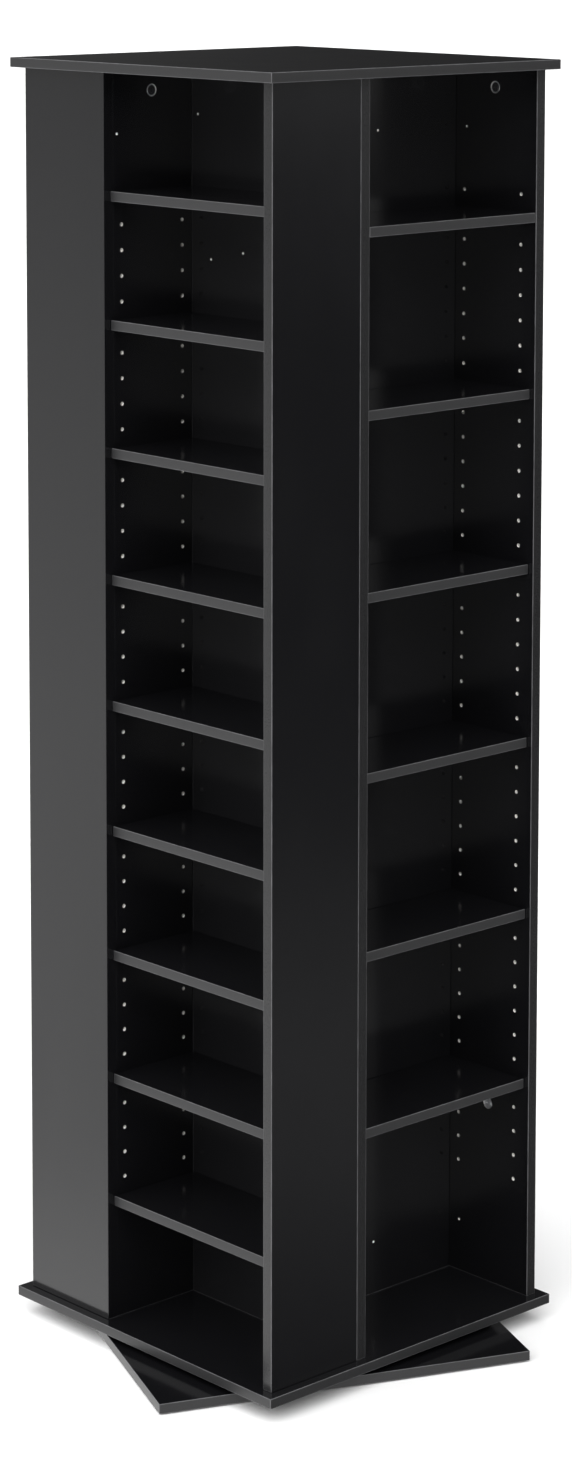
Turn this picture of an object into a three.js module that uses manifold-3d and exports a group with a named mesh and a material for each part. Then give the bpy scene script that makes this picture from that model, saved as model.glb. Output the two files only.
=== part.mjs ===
// A rotating media tower: a tall four-sided case with two bays for discs in jewel boxes and two
// bays for taller film cases, between overhanging top and bottom boards, turning on a ball
// bearing that is screwed to a square base board.
// Millimetres, +Z up. The origin lies on the floor, on the axis that the tower turns on.
// The disc bays face -Y and +Y, and the film bays face +X and -X.
// The tower is two equal halves, one turned half a circle from the other.

import * as THREE from 'three';
import { mergeVertices } from 'three/addons/utils/BufferGeometryUtils.js';
import Module from 'manifold-3d';

const wasm = await Module();
wasm.setup();

// Driving sizes of the boards
const BOARD_SIDE = 489; // top, bottom and base boards, all square
const BOARD_THICKNESS = 12.5;
const ARRIS = 0.8; // small bevel that takes the sharpness off a board's edges
const SEAM = 0.2; // glue line between two boards that meet

// Driving sizes of the case
const CASE_SIDE = 462;
const CASE_HEIGHT = 1588;
const PANEL_THICKNESS = 15; // partitions, side panels and end panels
const INNER_WALL_THICKNESS = 12; // the wall that closes the film bay at the back
const DISC_BAY_DEPTH = 143;
const FILM_BAY_DEPTH = 142;

// Shelves
const SHELF_THICKNESS = 12.5;
const SHELF_GAP = 0.8; // play between a shelf and the walls round it
const DISC_SHELF_SETBACK = 10; // behind the front edges of the case
const FILM_SHELF_SETBACK = 8;
const TOP_FILM_SHELF_SETBACK = 0.5; // the highest one stands nearly flush with the case

// Columns of shelf-pin holes, in rows that are evenly spaced all the way up
const PIN_ROW_SPACING = 32;
const LOWEST_PIN_ROW = 150.5; // above the foot of the case
const HIGHEST_PIN_ROW_MARGIN = 150; // at least this far below the top of the case
const HOLE_RADIUS = 2.5;
const HOLE_DEPTH = 9;
const HOLE_SIDES = 5;
const PIN_SIDES = 4;
const PIN_CLEARANCE = 0.2; // round the pin in its hole
const PIN_RADIUS = HOLE_RADIUS - PIN_CLEARANCE;
const PIN_REACH = 7.5; // into the wall
const FRONT_PIN_INSET = 18; // behind the shelf's front edge
const REAR_PIN_INSET = 16; // in front of the bay's back

// Rows that carry a shelf, counted down from the top row: the first, and every so many on
const DISC_FIRST_ROW = 0;
const DISC_ROW_STEP = 5;
const FILM_FIRST_ROW = 1;
const FILM_ROW_STEP = 7;

// Base board with its pads
const BASE_TURN = THREE.MathUtils.degToRad(-23.3); // how far it stands turned under the tower
const PAD_HEIGHT = 2;
const PAD_RADIUS = 13;
const PAD_EDGE_DISTANCE = 32; // from the board's edges to the pad's centre
const PAD_SIDES = 16;

// Turntable bearing between the base board and the bottom board
const BEARING_HEIGHT = 8;
const BEARING_SIDES = 24;
const PLATE_THICKNESS = 1.2;
const RACE_RADIUS = 126; // circle that the balls run on
const RACE_HALF_WIDTH = 7; // from that circle to the collars on both sides
const COLLAR_GAP = 0.6; // from a collar's rim to the other plate
const FLANGE_WIDTH = 17; // beyond a collar, where the screws go
const FLANGE_LIP = 4; // how far a plate runs on under the other plate's collar
const BALL_COUNT = 12;
const BALL_CLEARANCE = 0.3;
const RETAINER_HALF_WIDTH = 4;
const RETAINER_THICKNESS = 1.2;
const SCREW_HOLE_RADIUS = 2.2;
const SCREW_HOLE_SIDES = 6;
const SCREW_COUNT = 4;
const ACCESS_HOLE_RADIUS = 10; // through the base board, for driving the upper screws
const ACCESS_HOLE_SIDES = 16;
const OVERRUN = 1; // how far a cutting shape runs past the face that it cuts

// Heights of the stack, from the floor up
const BASE_BOTTOM = PAD_HEIGHT;
const BASE_TOP = BASE_BOTTOM + BOARD_THICKNESS;
const BEARING_TOP = BASE_TOP + BEARING_HEIGHT;
const CASE_FOOT = BEARING_TOP + BOARD_THICKNESS;
const CASE_TOP = CASE_FOOT + CASE_HEIGHT;

// Plan of one half of the tower
const CASE_HALF = CASE_SIDE / 2;
const DISC_BAY_LEFT = -CASE_HALF + FILM_BAY_DEPTH + INNER_WALL_THICKNESS;
const DISC_BAY_RIGHT = CASE_HALF - PANEL_THICKNESS;
const DISC_BAY_BACK = -CASE_HALF + DISC_BAY_DEPTH;
const FILM_BAY_START = DISC_BAY_BACK + PANEL_THICKNESS;
const FILM_BAY_END = CASE_HALF - PANEL_THICKNESS;
const FILM_BAY_BACK = CASE_HALF - FILM_BAY_DEPTH;

// Places of the pin columns
const DISC_SHELF_FRONT = -CASE_HALF + DISC_SHELF_SETBACK;
const FILM_SHELF_FRONT = CASE_HALF - FILM_SHELF_SETBACK;
const TOP_FILM_SHELF_FRONT = CASE_HALF - TOP_FILM_SHELF_SETBACK;
const DISC_PIN_COLUMNS = [DISC_SHELF_FRONT + FRONT_PIN_INSET, DISC_BAY_BACK - REAR_PIN_INSET];
const FILM_PIN_COLUMNS = [FILM_SHELF_FRONT - FRONT_PIN_INSET, FILM_BAY_BACK + REAR_PIN_INSET];

const laminate = new THREE.MeshStandardMaterial({ color: 0x1c1c1e, roughness: 0.38, metalness: 0 });
const zincSteel = new THREE.MeshStandardMaterial({ color: 0x9a9c9e, roughness: 0.35, metalness: 1 });
const ballSteel = new THREE.MeshStandardMaterial({ color: 0xb8babd, roughness: 0.2, metalness: 1 });
const padPlastic = new THREE.MeshStandardMaterial({ color: 0x2a2a2a, roughness: 0.7, metalness: 0 });

// Closed solid for joining and cutting, from any closed geometry
function solidOf(geometry) {
  const bare = geometry.clone();
  bare.deleteAttribute('normal');
  bare.deleteAttribute('uv');
  const merged = mergeVertices(bare);
  return new wasm.Manifold(new wasm.Mesh({
    numProp: 3,
    vertProperties: new Float32Array(merged.attributes.position.array),
    triVerts: new Uint32Array(merged.index.array),
  }));
}

function geometryOf(solid) {
  const mesh = solid.getMesh();
  const geometry = new THREE.BufferGeometry();
  geometry.setAttribute('position', new THREE.BufferAttribute(new Float32Array(mesh.vertProperties), 3));
  geometry.setIndex(new THREE.BufferAttribute(new Uint32Array(mesh.triVerts), 1));
  geometry.computeVertexNormals();
  return geometry;
}

function namedMesh(name, geometry, material) {
  const mesh = new THREE.Mesh(geometry, material);
  mesh.name = name;
  return mesh;
}

// Board between two corners, with a bevel on every edge
function boardGeometry(x, y, z) {
  const shape = new THREE.Shape();
  shape.moveTo(x[0] + ARRIS, y[0]);
  shape.lineTo(x[1] - ARRIS, y[0]);
  shape.lineTo(x[1], y[0] + ARRIS);
  shape.lineTo(x[1], y[1] - ARRIS);
  shape.lineTo(x[1] - ARRIS, y[1]);
  shape.lineTo(x[0] + ARRIS, y[1]);
  shape.lineTo(x[0], y[1] - ARRIS);
  shape.lineTo(x[0], y[0] + ARRIS);
  const geometry = new THREE.ExtrudeGeometry(shape, {
    depth: z[1] - z[0] - 2 * ARRIS,
    bevelEnabled: true,
    bevelThickness: ARRIS,
    bevelSize: ARRIS,
    bevelOffset: -ARRIS,
    bevelSegments: 1,
  });
  return geometry.translate(0, 0, z[0] + ARRIS);
}

// Regular outline with a flat side down: its corners lie on a circle, or its sides touch one
function outlineInside(radius, sides) {
  const shape = new THREE.Shape();
  for (let i = 0; i < sides; i += 1) {
    const angle = -Math.PI / 2 + (2 * i + 1) * Math.PI / sides;
    const point = [radius * Math.cos(angle), radius * Math.sin(angle)];
    if (i === 0) {
      shape.moveTo(...point);
    } else {
      shape.lineTo(...point);
    }
  }
  return shape;
}

function outlineRound(radius, sides) {
  return outlineInside(radius / Math.cos(Math.PI / sides), sides);
}

// Peg along +X or +Y from a start point, its flat side down
function pegSolid(outline, length, along, start) {
  const geometry = new THREE.ExtrudeGeometry(outline, { depth: length, bevelEnabled: false });
  if (along === 'x') {
    geometry.rotateX(Math.PI / 2);
    geometry.rotateZ(Math.PI / 2);
  } else {
    geometry.rotateX(Math.PI / 2);
    geometry.translate(0, length, 0);
  }
  geometry.translate(start.x, start.y, start.z);
  return solidOf(geometry);
}

// Rows are counted down from the top one
const PIN_COLUMN_LENGTH = CASE_HEIGHT - LOWEST_PIN_ROW - HIGHEST_PIN_ROW_MARGIN;
const LAST_ROW = Math.floor(PIN_COLUMN_LENGTH / PIN_ROW_SPACING);

function rowHeight(row) {
  return CASE_FOOT + LOWEST_PIN_ROW + (LAST_ROW - row) * PIN_ROW_SPACING;
}

function rowsFrom(firstRow, step) {
  const rows = [];
  for (let row = firstRow; row <= LAST_ROW; row += step) {
    rows.push(row);
  }
  return rows;
}

const ALL_ROWS = rowsFrom(0, 1);
const DISC_ROWS = rowsFrom(DISC_FIRST_ROW, DISC_ROW_STEP);
const FILM_ROWS = rowsFrom(FILM_FIRST_ROW, FILM_ROW_STEP);

// Wall with two columns of blind holes in one face; inward is +1 where the wall lies on the
// positive side of that face
function drilledWall(x, y, along, face, inward, columns) {
  let wall = solidOf(boardGeometry(x, y, [CASE_FOOT + SEAM, CASE_TOP - SEAM]));
  const low = inward > 0 ? face - OVERRUN : face - HOLE_DEPTH;
  const length = HOLE_DEPTH + OVERRUN;
  const outline = outlineRound(HOLE_RADIUS, HOLE_SIDES);
  for (const column of columns) {
    for (const row of ALL_ROWS) {
      const start = along === 'x'
        ? new THREE.Vector3(low, column, rowHeight(row))
        : new THREE.Vector3(column, low, rowHeight(row));
      wall = wall.subtract(pegSolid(outline, length, along, start));
    }
  }
  return geometryOf(wall);
}

// Shelf with its four pins, in its own frame: X along its front edge, Y to its back, Z up.
// The pins are two rods that run across it and out into the walls at both ends.
function shelfGeometry(width, depth, pinDepths) {
  const profile = new THREE.Shape();
  profile.moveTo(ARRIS, 0);
  profile.lineTo(depth, 0);
  profile.lineTo(depth, SHELF_THICKNESS);
  profile.lineTo(ARRIS, SHELF_THICKNESS);
  profile.lineTo(0, SHELF_THICKNESS - ARRIS);
  profile.lineTo(0, ARRIS);
  const board = new THREE.ExtrudeGeometry(profile, { depth: width, bevelEnabled: false });
  board.rotateX(Math.PI / 2);
  board.rotateZ(Math.PI / 2);
  let shelf = solidOf(board);
  const reach = SHELF_GAP + PIN_REACH;
  const outline = outlineInside(PIN_RADIUS, PIN_SIDES);
  for (const pinDepth of pinDepths) {
    const start = new THREE.Vector3(-reach, pinDepth, PIN_RADIUS);
    shelf = shelf.add(pegSolid(outline, width + 2 * reach, 'x', start));
  }
  return geometryOf(shelf);
}

const discShelf = shelfGeometry(
  DISC_BAY_RIGHT - DISC_BAY_LEFT - 2 * SHELF_GAP,
  DISC_BAY_BACK - DISC_SHELF_FRONT - SHELF_GAP,
  DISC_PIN_COLUMNS.map((y) => y - DISC_SHELF_FRONT));
function filmShelfGeometry(front) {
  return shelfGeometry(
    FILM_BAY_END - FILM_BAY_START - 2 * SHELF_GAP,
    front - FILM_BAY_BACK - SHELF_GAP,
    FILM_PIN_COLUMNS.map((x) => front - x));
}
const topFilmShelf = filmShelfGeometry(TOP_FILM_SHELF_FRONT);
const filmShelf = filmShelfGeometry(FILM_SHELF_FRONT);

// One half of the case: its walls and the shelves of one disc bay and one film bay
function towerHalf(number) {
  const half = new THREE.Group();
  const add = (name, geometry) => half.add(namedMesh(`${name}_${number}`, geometry, laminate));

  add('partition', drilledWall(
    [DISC_BAY_LEFT + SEAM, CASE_HALF], [DISC_BAY_BACK, FILM_BAY_START],
    'y', FILM_BAY_START, -1, FILM_PIN_COLUMNS));
  add('film_end_panel', drilledWall(
    [-DISC_BAY_LEFT, CASE_HALF], [FILM_BAY_END, CASE_HALF],
    'y', FILM_BAY_END, 1, FILM_PIN_COLUMNS));
  add('disc_side_panel', drilledWall(
    [DISC_BAY_RIGHT, CASE_HALF], [-CASE_HALF, DISC_BAY_BACK - SEAM],
    'x', DISC_BAY_RIGHT, 1, DISC_PIN_COLUMNS));
  add('inner_wall', drilledWall(
    [-DISC_BAY_LEFT, FILM_BAY_BACK], [FILM_BAY_START + SEAM, FILM_BAY_END - SEAM],
    'x', -DISC_BAY_LEFT, 1, DISC_PIN_COLUMNS.map((y) => -y)));

  DISC_ROWS.forEach((row, i) => {
    const shelf = namedMesh(`disc_shelf_${number}_${i + 1}`, discShelf, laminate);
    shelf.position.set(DISC_BAY_LEFT + SHELF_GAP, DISC_SHELF_FRONT, rowHeight(row) - PIN_RADIUS);
    half.add(shelf);
  });
  FILM_ROWS.forEach((row, i) => {
    const highest = i === 0;
    const front = highest ? TOP_FILM_SHELF_FRONT : FILM_SHELF_FRONT;
    const geometry = highest ? topFilmShelf : filmShelf;
    const shelf = namedMesh(`film_shelf_${number}_${i + 1}`, geometry, laminate);
    shelf.rotation.z = Math.PI / 2;
    shelf.position.set(front, FILM_BAY_START + SHELF_GAP, rowHeight(row) - PIN_RADIUS);
    half.add(shelf);
  });
  return half;
}

// Heights inside the bearing
const LOWER_FLANGE_BOTTOM = BASE_TOP + SEAM;
const LOWER_FLANGE_TOP = LOWER_FLANGE_BOTTOM + PLATE_THICKNESS;
const UPPER_FLANGE_TOP = BEARING_TOP - SEAM;
const UPPER_FLANGE_BOTTOM = UPPER_FLANGE_TOP - PLATE_THICKNESS;
const RACE_MIDDLE = (LOWER_FLANGE_TOP + UPPER_FLANGE_BOTTOM) / 2;
const BALL_RADIUS = (UPPER_FLANGE_BOTTOM - LOWER_FLANGE_TOP) / 2 - BALL_CLEARANCE;

// Radii of the two collars' faces
const INNER_COLLAR_OUTSIDE = RACE_RADIUS - RACE_HALF_WIDTH;
const INNER_COLLAR_INSIDE = INNER_COLLAR_OUTSIDE - PLATE_THICKNESS;
const OUTER_COLLAR_INSIDE = RACE_RADIUS + RACE_HALF_WIDTH;
const OUTER_COLLAR_OUTSIDE = OUTER_COLLAR_INSIDE + PLATE_THICKNESS;

function revolved(points) {
  const profile = points.map(([radius, height]) => new THREE.Vector2(radius, height));
  profile.push(profile[0].clone());
  return new THREE.LatheGeometry(profile, BEARING_SIDES).rotateX(Math.PI / 2);
}

// Screw holes on a circle through a flat ring
function withScrewHoles(geometry, circleRadius, low, high) {
  let plate = solidOf(geometry);
  for (let i = 0; i < SCREW_COUNT; i += 1) {
    const angle = (2 * i + 1) * Math.PI / SCREW_COUNT;
    const hole = new THREE.ExtrudeGeometry(outlineRound(SCREW_HOLE_RADIUS, SCREW_HOLE_SIDES), {
      depth: high - low + 2 * OVERRUN,
      bevelEnabled: false,
    });
    hole.translate(circleRadius * Math.cos(angle), circleRadius * Math.sin(angle), low - OVERRUN);
    plate = plate.subtract(solidOf(hole));
  }
  return geometryOf(plate);
}

// Lower plate: flange with screws inside, collar, and the track that the balls run on
function lowerPlate() {
  const collarRim = UPPER_FLANGE_BOTTOM - COLLAR_GAP;
  const ring = revolved([
    [INNER_COLLAR_INSIDE - FLANGE_WIDTH, LOWER_FLANGE_BOTTOM],
    [OUTER_COLLAR_OUTSIDE + FLANGE_LIP, LOWER_FLANGE_BOTTOM],
    [OUTER_COLLAR_OUTSIDE + FLANGE_LIP, LOWER_FLANGE_TOP],
    [INNER_COLLAR_OUTSIDE, LOWER_FLANGE_TOP],
    [INNER_COLLAR_OUTSIDE, collarRim],
    [INNER_COLLAR_INSIDE, collarRim],
    [INNER_COLLAR_INSIDE, LOWER_FLANGE_TOP],
    [INNER_COLLAR_INSIDE - FLANGE_WIDTH, LOWER_FLANGE_TOP],
  ]);
  const screwCircle = INNER_COLLAR_INSIDE - FLANGE_WIDTH / 2;
  return withScrewHoles(ring, screwCircle, LOWER_FLANGE_BOTTOM, LOWER_FLANGE_TOP);
}

// Upper plate: track, collar outside the balls, and flange with screws outside that
const UPPER_SCREW_CIRCLE = OUTER_COLLAR_OUTSIDE + FLANGE_WIDTH / 2;

function upperPlate() {
  const collarRim = LOWER_FLANGE_TOP + COLLAR_GAP;
  const ring = revolved([
    [INNER_COLLAR_INSIDE - FLANGE_LIP, UPPER_FLANGE_BOTTOM],
    [OUTER_COLLAR_INSIDE, UPPER_FLANGE_BOTTOM],
    [OUTER_COLLAR_INSIDE, collarRim],
    [OUTER_COLLAR_OUTSIDE, collarRim],
    [OUTER_COLLAR_OUTSIDE, UPPER_FLANGE_BOTTOM],
    [OUTER_COLLAR_OUTSIDE + FLANGE_WIDTH, UPPER_FLANGE_BOTTOM],
    [OUTER_COLLAR_OUTSIDE + FLANGE_WIDTH, UPPER_FLANGE_TOP],
    [INNER_COLLAR_INSIDE - FLANGE_LIP, UPPER_FLANGE_TOP],
  ]);
  return withScrewHoles(ring, UPPER_SCREW_CIRCLE, UPPER_FLANGE_BOTTOM, UPPER_FLANGE_TOP);
}

// Retainer ring with its balls, which rolls between the plates at half the tower's speed
function ballRing() {
  const low = RACE_MIDDLE - RETAINER_THICKNESS / 2;
  const high = RACE_MIDDLE + RETAINER_THICKNESS / 2;
  const inside = RACE_RADIUS - RETAINER_HALF_WIDTH;
  const outside = RACE_RADIUS + RETAINER_HALF_WIDTH;
  let ring = solidOf(revolved([[inside, low], [outside, low], [outside, high], [inside, high]]));
  for (let i = 0; i < BALL_COUNT; i += 1) {
    const angle = i * 2 * Math.PI / BALL_COUNT;
    const ball = new THREE.OctahedronGeometry(BALL_RADIUS, 1);
    ball.rotateZ(angle);
    ball.translate(RACE_RADIUS * Math.cos(angle), RACE_RADIUS * Math.sin(angle), RACE_MIDDLE);
    ring = ring.add(solidOf(ball));
  }
  return geometryOf(ring);
}

// Base board with the hole through which the upper plate's screws are driven
function baseBoard() {
  const half = BOARD_SIDE / 2;
  const board = solidOf(boardGeometry([-half, half], [-half, half], [BASE_BOTTOM, BASE_TOP]));
  const hole = new THREE.ExtrudeGeometry(outlineRound(ACCESS_HOLE_RADIUS, ACCESS_HOLE_SIDES), {
    depth: BOARD_THICKNESS + 2 * OVERRUN,
    bevelEnabled: false,
  });
  hole.translate(0, -UPPER_SCREW_CIRCLE, BASE_BOTTOM - OVERRUN);
  return geometryOf(board.subtract(solidOf(hole)));
}

function floorPad(x, y) {
  const height = PAD_HEIGHT - SEAM;
  const pad = new THREE.CylinderGeometry(PAD_RADIUS, PAD_RADIUS, height, PAD_SIDES);
  pad.rotateX(Math.PI / 2);
  return pad.translate(x, y, height / 2);
}

// What stands on the floor, turned under the tower as it was left
function standingBase() {
  const base = new THREE.Group();
  base.rotation.z = BASE_TURN;
  base.add(namedMesh('base_board', baseBoard(), laminate));
  const padPlace = BOARD_SIDE / 2 - PAD_EDGE_DISTANCE;
  const corners = [[-1, -1], [1, -1], [1, 1], [-1, 1]];
  corners.forEach(([sideX, sideY], i) => {
    const pad = floorPad(sideX * padPlace, sideY * padPlace);
    base.add(namedMesh(`floor_pad_${i + 1}`, pad, padPlastic));
  });
  base.add(namedMesh('bearing_lower_plate', lowerPlate(), zincSteel));
  return base;
}

function squareBoard(low) {
  const half = BOARD_SIDE / 2;
  return boardGeometry([-half, half], [-half, half], [low, low + BOARD_THICKNESS]);
}

const object = new THREE.Group();
object.add(standingBase());
object.add(namedMesh('bearing_ball_ring', ballRing(), ballSteel));
object.add(namedMesh('bearing_upper_plate', upperPlate(), zincSteel));
object.add(namedMesh('bottom_board', squareBoard(BEARING_TOP), laminate));
object.add(namedMesh('top_board', squareBoard(CASE_TOP), laminate));

const firstHalf = towerHalf(1);
const secondHalf = towerHalf(2);
secondHalf.rotation.z = Math.PI;
object.add(firstHalf, secondHalf);

export default object;
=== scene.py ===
"""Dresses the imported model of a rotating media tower: laminate boards, hardware and studio."""
import math

import bmesh
import bpy
from bpy.props import FloatProperty, FloatVectorProperty, IntProperty, PointerProperty
from mathutils import Matrix, Vector
from mathutils.geometry import delaunay_2d_cdt


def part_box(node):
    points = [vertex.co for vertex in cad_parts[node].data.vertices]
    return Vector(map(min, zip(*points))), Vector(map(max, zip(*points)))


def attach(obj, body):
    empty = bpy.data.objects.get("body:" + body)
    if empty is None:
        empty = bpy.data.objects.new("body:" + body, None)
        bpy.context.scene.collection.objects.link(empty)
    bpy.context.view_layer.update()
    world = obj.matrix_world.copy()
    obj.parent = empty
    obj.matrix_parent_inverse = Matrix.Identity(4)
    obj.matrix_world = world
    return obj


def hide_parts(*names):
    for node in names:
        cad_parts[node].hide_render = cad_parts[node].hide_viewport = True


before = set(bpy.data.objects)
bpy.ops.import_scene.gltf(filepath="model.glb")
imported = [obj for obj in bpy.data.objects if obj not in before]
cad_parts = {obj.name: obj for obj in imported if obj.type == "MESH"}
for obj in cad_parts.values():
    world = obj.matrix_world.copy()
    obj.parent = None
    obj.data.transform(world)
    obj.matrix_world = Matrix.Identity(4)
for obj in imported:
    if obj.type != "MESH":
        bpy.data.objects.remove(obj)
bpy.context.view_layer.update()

bl_info = {
    "name": "Rotating Media Tower",
    "version": (1, 0, 0),
    "blender": (4, 5, 0),
    "location": "View3D > Sidebar > Media Tower",
    "description": "Builds the boards, shelves, hardware and turntable of a rotating media tower",
    "category": "Object",
}

MM = 0.001
UNTURNED = Matrix.Identity(4)
HALVES = (1, 2)
HALF_TURN = {1: UNTURNED, 2: Matrix.Rotation(math.pi, 4, "Z")}

# Plan of the case, in metres: the places where the CAD boards meet
CASE_HALF = 231 * MM
PANEL = 15 * MM
SEAM = 0.2 * MM
DISC_LEFT = -77 * MM
DISC_RIGHT = CASE_HALF - PANEL
DISC_BACK = -88 * MM
FILM_START = DISC_BACK + PANEL
FILM_END = DISC_RIGHT
FILM_BACK = 89 * MM
SHELF_GAP = 0.8 * MM

# Rows of the shelf pins, counted down from the top one, and their columns
ROW_PITCH = 32 * MM
TOP_ROW = 1465.5 * MM
ROW_COUNT = 41
DISC_COLUMNS = (-203 * MM, -104 * MM)
FILM_COLUMNS = (205 * MM, 105 * MM)
SHELF_ROWS = {"disc": range(0, ROW_COUNT, 5), "film": range(1, ROW_COUNT, 7)}
PIN_ABOVE_SHELF_FOOT = 2.3 * MM

# Drilling and grooving. Play is all round, and cutting shapes overrun the face that they cut
DRILL_POINT = 1 * MM
DOWEL_MARK_DEPTH = 0.8 * MM
DOWEL_MARK_POINT = 0.5 * MM
POCKET_PLAY = 0.5 * MM
GROOVE_PLAY = 0.3 * MM
GROOVE_BEYOND_HALF_PIN = 1.5 * MM
OVERRUN = 1 * MM

# Heights of the fittings that join the boards
CAM_HEIGHT = 1598 * MM
LOW_CAM_HEIGHT = 275 * MM
HIGH_FIXING = 1546 * MM
LOW_FIXING = 104.5 * MM

# Cam lock. Shares are of its radius, depths are from its face, and its pocket is a little deeper
CAM_INSET = 0.3 * MM
POCKET_BEYOND_CAM = 0.4 * MM
CAM_ARRIS = 0.3 * MM
CAM_RING_SHARES = (0.82, 0.78, 0.62, 0.58)
CAM_RING_DEPTH = 0.4 * MM
CAM_BRIGHT_SHARE = 0.8
CAM_CROSS_SHARE = 0.46
CAM_CROSS_HALF_WIDTH = 0.8 * MM

# Screw, measured from its seat
SCREW_HEAD_HEIGHT = 1.9 * MM
SCREW_HEAD_RIM = 0.5 * MM
SCREW_SHANK_RADIUS = 1.9 * MM
SCREW_LENGTH = 6 * MM
SCREW_POINT = 1 * MM
SCREW_CROSS_REACH = 1.9 * MM
SCREW_CROSS_HALF_WIDTH = 0.45 * MM

# Cross recess of cams and screws, and the size of its foot as a share of its mouth
CROSS_DEPTH = 0.9 * MM
CROSS_FOOT_SHARE = 0.6

# Foot of the tower
BASE_TURN = Matrix.Rotation(math.radians(-23.3), 4, "Z")
BASE_HALF = 244.5 * MM
BASE_TOP = 14.5 * MM
BEARING_TOP = 22.5 * MM
ACCESS_HOLE_RADIUS = 10 * MM
ACCESS_HOLE_PLACE = 142.7 * MM
PAD_COUNT = 4
PAD_ARRIS = 0.5 * MM

# Turntable bearing
RACE_RADIUS = 126 * MM
RACE_HALF_WIDTH = 7 * MM
SHEET = 1.2 * MM
FLANGE = 17 * MM
LIP = 4 * MM
RIM_GAP = 0.6 * MM
RIM_ARRIS = 0.3 * MM
BALL_PLAY = 0.3 * MM
RETAINER_HALF_WIDTH = 4 * MM
LOWER_FLANGE = (BASE_TOP + SEAM, BASE_TOP + SEAM + SHEET)
UPPER_FLANGE = (BEARING_TOP - SEAM - SHEET, BEARING_TOP - SEAM)
RACE_MIDDLE = (LOWER_FLANGE[1] + UPPER_FLANGE[0]) / 2
COLLAR_INSIDE = RACE_RADIUS - RACE_HALF_WIDTH
COLLAR_OUTSIDE = RACE_RADIUS + RACE_HALF_WIDTH
LOWER_SCREW_CIRCLE = COLLAR_INSIDE - SHEET - FLANGE / 2
UPPER_SCREW_CIRCLE = COLLAR_OUTSIDE + SHEET + FLANGE / 2
BALL_COUNT = 12
SCREWS_A_PLATE = 4

# Faces round what is turned or arched
ROUND_STEPS = 40
SMALL_STEPS = 20
PIN_STEPS = 12
BALL_ARC_STEPS = 10
GROOVE_STEPS = 8
DOME_STEPS = 4
FLOOR_STEPS = 64

# Order of the finishes on a board's mesh
LAMINATE, TAPE, ARRIS, RAW = range(4)

# Sides of a board, and the directions that they look in
SIDES = {
    "-x": Vector((-1, 0, 0)),
    "+x": Vector((1, 0, 0)),
    "-y": Vector((0, -1, 0)),
    "+y": Vector((0, 1, 0)),
    "-z": Vector((0, 0, -1)),
    "+z": Vector((0, 0, 1)),
}
ALL_ROUND = ("-x", "+x", "-y", "+y")

# Corners of a box's six faces, where the corners are numbered by x, then y, then z
BOX_FACES = (
    (0, 1, 3, 2), (4, 6, 7, 5), (0, 4, 5, 1),
    (2, 3, 7, 6), (0, 2, 6, 4), (1, 5, 7, 3),
)

# Bevel setting for an arris that is a quarter of a circle
ROUND_BEVEL = 0.5
# An edge that turns by this angle or more is shaded sharp
CREASE = math.radians(35)
# Least cosines between a side and an arris that looks to it, and a side and a face that is on it
LEANS_TO_SIDE = 0.1
LIES_ON_SIDE = 0.999
# Lengths below which a point is on the axis, and two points are one
ON_AXIS = 1e-6
SAME_POINT = 1e-7

# Sockets of a Mix node for colours, by number because several share a name
MIX_FACTOR = 0
MIX_FIRST = 6
MIX_SECOND = 7
MIX_RESULT = 2


class TowerBoardSizes(bpy.types.PropertyGroup):
    """Sizes of the boards' edges and of what is drilled into them."""

    arris: FloatProperty(
        name="Arris", description="Rounding of a board's edges",
        default=0.8 * MM, min=0.1 * MM, max=2 * MM, precision=5, unit="LENGTH")
    arris_steps: IntProperty(
        name="Arris steps", description="Faces across the rounding of an edge",
        default=2, min=1, max=6)
    pin_hole: FloatProperty(
        name="Pin hole radius", description="Radius of a hole for a shelf pin",
        default=2.5 * MM, min=1 * MM, max=4 * MM, precision=5, unit="LENGTH")
    pin_hole_depth: FloatProperty(
        name="Pin hole depth", description="Depth of a hole for a shelf pin, without its point",
        default=8 * MM, min=2 * MM, max=11 * MM, precision=5, unit="LENGTH")
    hole_sides: IntProperty(
        name="Hole sides", description="Faces round a drilled hole",
        default=16, min=8, max=48)
    disc_setback: FloatProperty(
        name="Disc shelf setback", description="From the front of the case to a disc shelf",
        default=10 * MM, min=0.0, max=30 * MM, precision=5, unit="LENGTH")
    film_setback: FloatProperty(
        name="Film shelf setback", description="From the front of the case to a film shelf",
        default=8 * MM, min=0.0, max=30 * MM, precision=5, unit="LENGTH")
    top_film_setback: FloatProperty(
        name="Top film shelf setback", description="The same for the highest film shelf",
        default=0.5 * MM, min=0.0, max=30 * MM, precision=5, unit="LENGTH")


class TowerHardwareSizes(bpy.types.PropertyGroup):
    """Sizes of the pins, cams, screws and bearing."""

    pin_radius: FloatProperty(
        name="Pin radius", description="Radius of a shelf pin",
        default=2.3 * MM, min=1 * MM, max=4 * MM, precision=5, unit="LENGTH")
    pin_length: FloatProperty(
        name="Pin length", description="Length of a shelf pin, half of it in the wall",
        default=15.5 * MM, min=8 * MM, max=20 * MM, precision=5, unit="LENGTH")
    cam_radius: FloatProperty(
        name="Cam radius", description="Radius of a cam that locks two boards together",
        default=7.4 * MM, min=4 * MM, max=12 * MM, precision=5, unit="LENGTH")
    cam_recess: FloatProperty(
        name="Cam recess", description="Depth of the pocket that a cam lies in",
        default=1.6 * MM, min=0.5 * MM, max=5 * MM, precision=5, unit="LENGTH")
    dowel_mark: FloatProperty(
        name="Dowel mark radius", description="Radius of the small marks where dowels show through",
        default=1.7 * MM, min=0.5 * MM, max=4 * MM, precision=5, unit="LENGTH")
    screw_head: FloatProperty(
        name="Screw head radius", description="Radius of a screw's head",
        default=3.9 * MM, min=2 * MM, max=6 * MM, precision=5, unit="LENGTH")
    bearing_steps: IntProperty(
        name="Bearing steps", description="Faces round the turntable bearing",
        default=96, min=24, max=256)


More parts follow.
